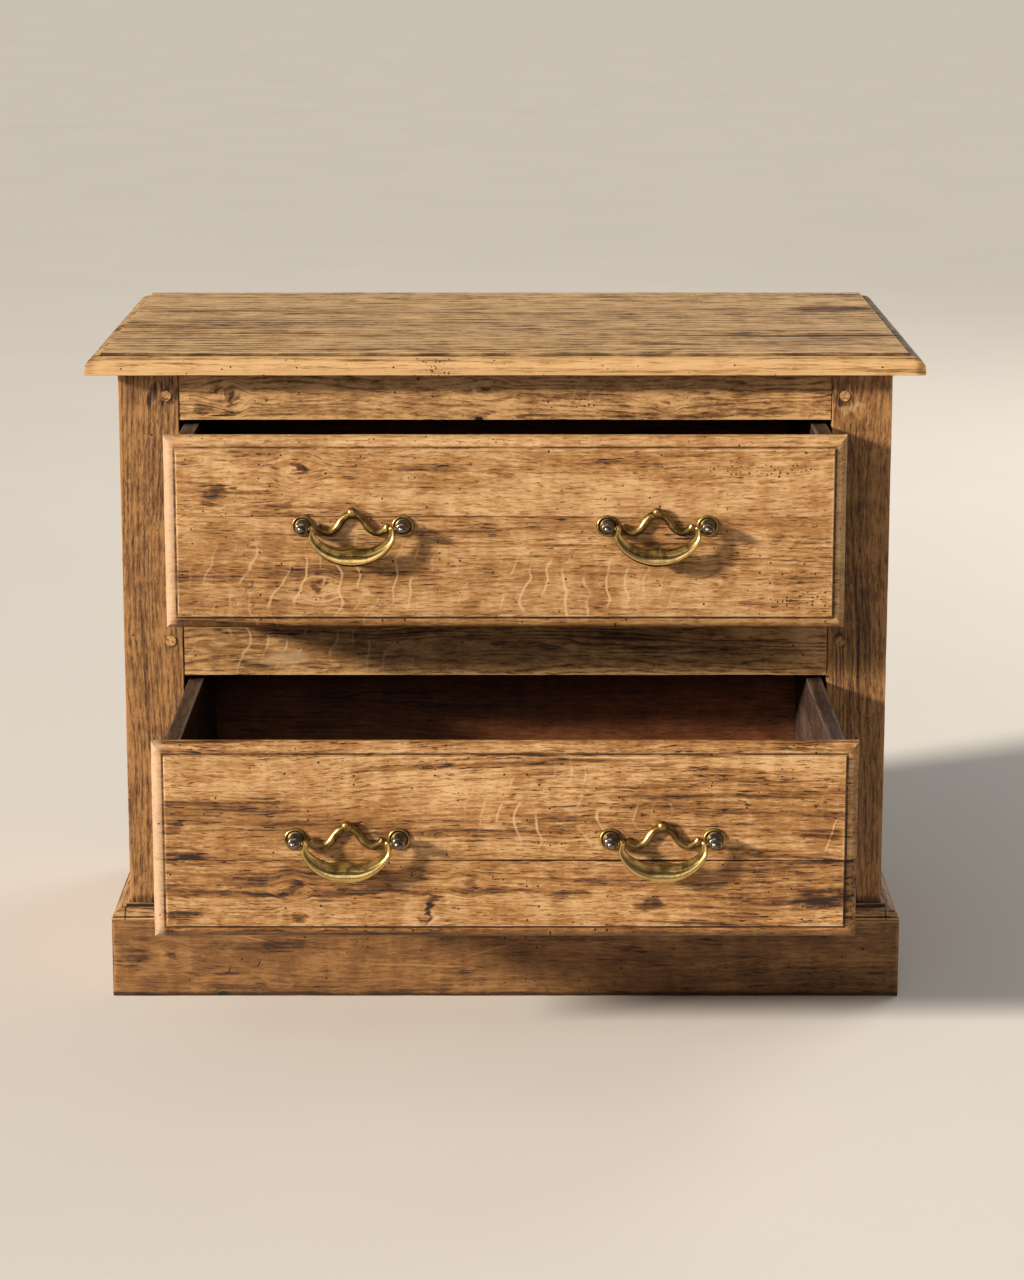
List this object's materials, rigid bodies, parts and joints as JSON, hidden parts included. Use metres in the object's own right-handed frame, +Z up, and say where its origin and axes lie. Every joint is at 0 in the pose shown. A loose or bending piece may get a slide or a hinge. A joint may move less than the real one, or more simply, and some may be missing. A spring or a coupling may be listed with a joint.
{
  "type": "chest of drawers",
  "caption": "Low oak dresser with a moulded overhanging top, pegged framed case, plinth base, and lipped drawers pulled by brass drop handles.",
  "frame": {"origin": "middle of the plinth's footprint on the floor, with the drawers left out of account", "axes": "+Z up, +X to the right seen from the front, front faces -Y"},
  "size_m": [0.854, 0.7444, 0.688],
  "materials": {
    "oak_case": "waxed, worn",
    "oak_top": "waxed, worn",
    "oak_front": "waxed, worn",
    "dark_interior": "dark stain, dry",
    "plain_wood": "unfinished, aged",
    "aged_brass": "aged, polished by use",
    "dark_bronze": "dark patina",
    "iron": "dark, dry"
  },
  "bodies": {
    "case": {"top_board_front": "oak_top", "top_board_middle": "oak_top", "top_board_back": "oak_top", "front_left_post": "oak_case", "front_right_post": "oak_case", "rear_left_post": "oak_case", "rear_right_post": "oak_case", "front_top_rail": "oak_case", "front_middle_rail": "oak_case", "front_bottom_rail": "oak_case", "left_top_rail": "oak_case", "left_bottom_rail": "oak_case", "right_top_rail": "oak_case", "right_bottom_rail": "oak_case", "left_side_panel": "oak_case", "right_side_panel": "oak_case", "back_top_rail": "plain_wood", "back_bottom_rail": "plain_wood", "back_board_1": "plain_wood", "back_board_2": "plain_wood", "back_board_3": "plain_wood", "plinth_front": "oak_case", "plinth_left": "oak_case", "plinth_right": "oak_case", "base_moulding_front": "oak_case", "base_moulding_left": "oak_case", "base_moulding_right": "oak_case", "upper_left_runner": "plain_wood", "upper_right_runner": "plain_wood", "lower_left_runner": "plain_wood", "lower_right_runner": "plain_wood", "drawer_guides": "plain_wood", "frame_pegs": "oak_case", "top_dowels": "oak_case", "back_nails": "iron"},
    "upper_drawer": {"upper_drawer_front_upper_board": "oak_front", "upper_drawer_front_lower_board": "oak_front", "upper_drawer_left_side": "dark_interior", "upper_drawer_right_side": "dark_interior", "upper_drawer_back": "dark_interior", "upper_drawer_bottom": "dark_interior", "upper_drawer_handle_posts": "dark_bronze", "upper_drawer_handle_nuts": "iron", "upper_drawer_left_handle_plate": "aged_brass", "upper_drawer_right_handle_plate": "aged_brass"},
    "upper_drawer_left_bail": {"upper_drawer_left_bail": "aged_brass"},
    "upper_drawer_right_bail": {"upper_drawer_right_bail": "aged_brass"},
    "lower_drawer": {"lower_drawer_front_upper_board": "oak_front", "lower_drawer_front_lower_board": "oak_front", "lower_drawer_left_side": "dark_interior", "lower_drawer_right_side": "dark_interior", "lower_drawer_back": "dark_interior", "lower_drawer_bottom": "dark_interior", "lower_drawer_handle_posts": "dark_bronze", "lower_drawer_handle_nuts": "iron", "lower_drawer_left_handle_plate": "aged_brass", "lower_drawer_right_handle_plate": "aged_brass"},
    "lower_drawer_left_bail": {"lower_drawer_left_bail": "aged_brass"},
    "lower_drawer_right_bail": {"lower_drawer_right_bail": "aged_brass"}
  },
  "joints": [
    {"name": "upper_drawer_slide", "type": "slide", "parent": "case", "child": "upper_drawer", "axis": [0, -1, 0], "range_m": [-0.095, 0.215]},
    {"name": "upper_drawer_left_bail_hinge", "type": "hinge", "parent": "upper_drawer", "child": "upper_drawer_left_bail", "pos_m": [-0.152, -0.3395, 0.5275], "axis": [-1, 0, 0], "range_deg": [0, 100]},
    {"name": "upper_drawer_right_bail_hinge", "type": "hinge", "parent": "upper_drawer", "child": "upper_drawer_right_bail", "pos_m": [0.152, -0.3395, 0.5275], "axis": [-1, 0, 0], "range_deg": [0, 100]},
    {"name": "lower_drawer_slide", "type": "slide", "parent": "case", "child": "lower_drawer", "axis": [0, -1, 0], "range_m": [-0.255, 0.055]},
    {"name": "lower_drawer_left_bail_hinge", "type": "hinge", "parent": "lower_drawer", "child": "lower_drawer_left_bail", "pos_m": [-0.152, -0.4995, 0.2525], "axis": [-1, 0, 0], "range_deg": [0, 100]},
    {"name": "lower_drawer_right_bail_hinge", "type": "hinge", "parent": "lower_drawer", "child": "lower_drawer_right_bail", "pos_m": [0.152, -0.4995, 0.2525], "axis": [-1, 0, 0], "range_deg": [0, 100]}
  ]
}
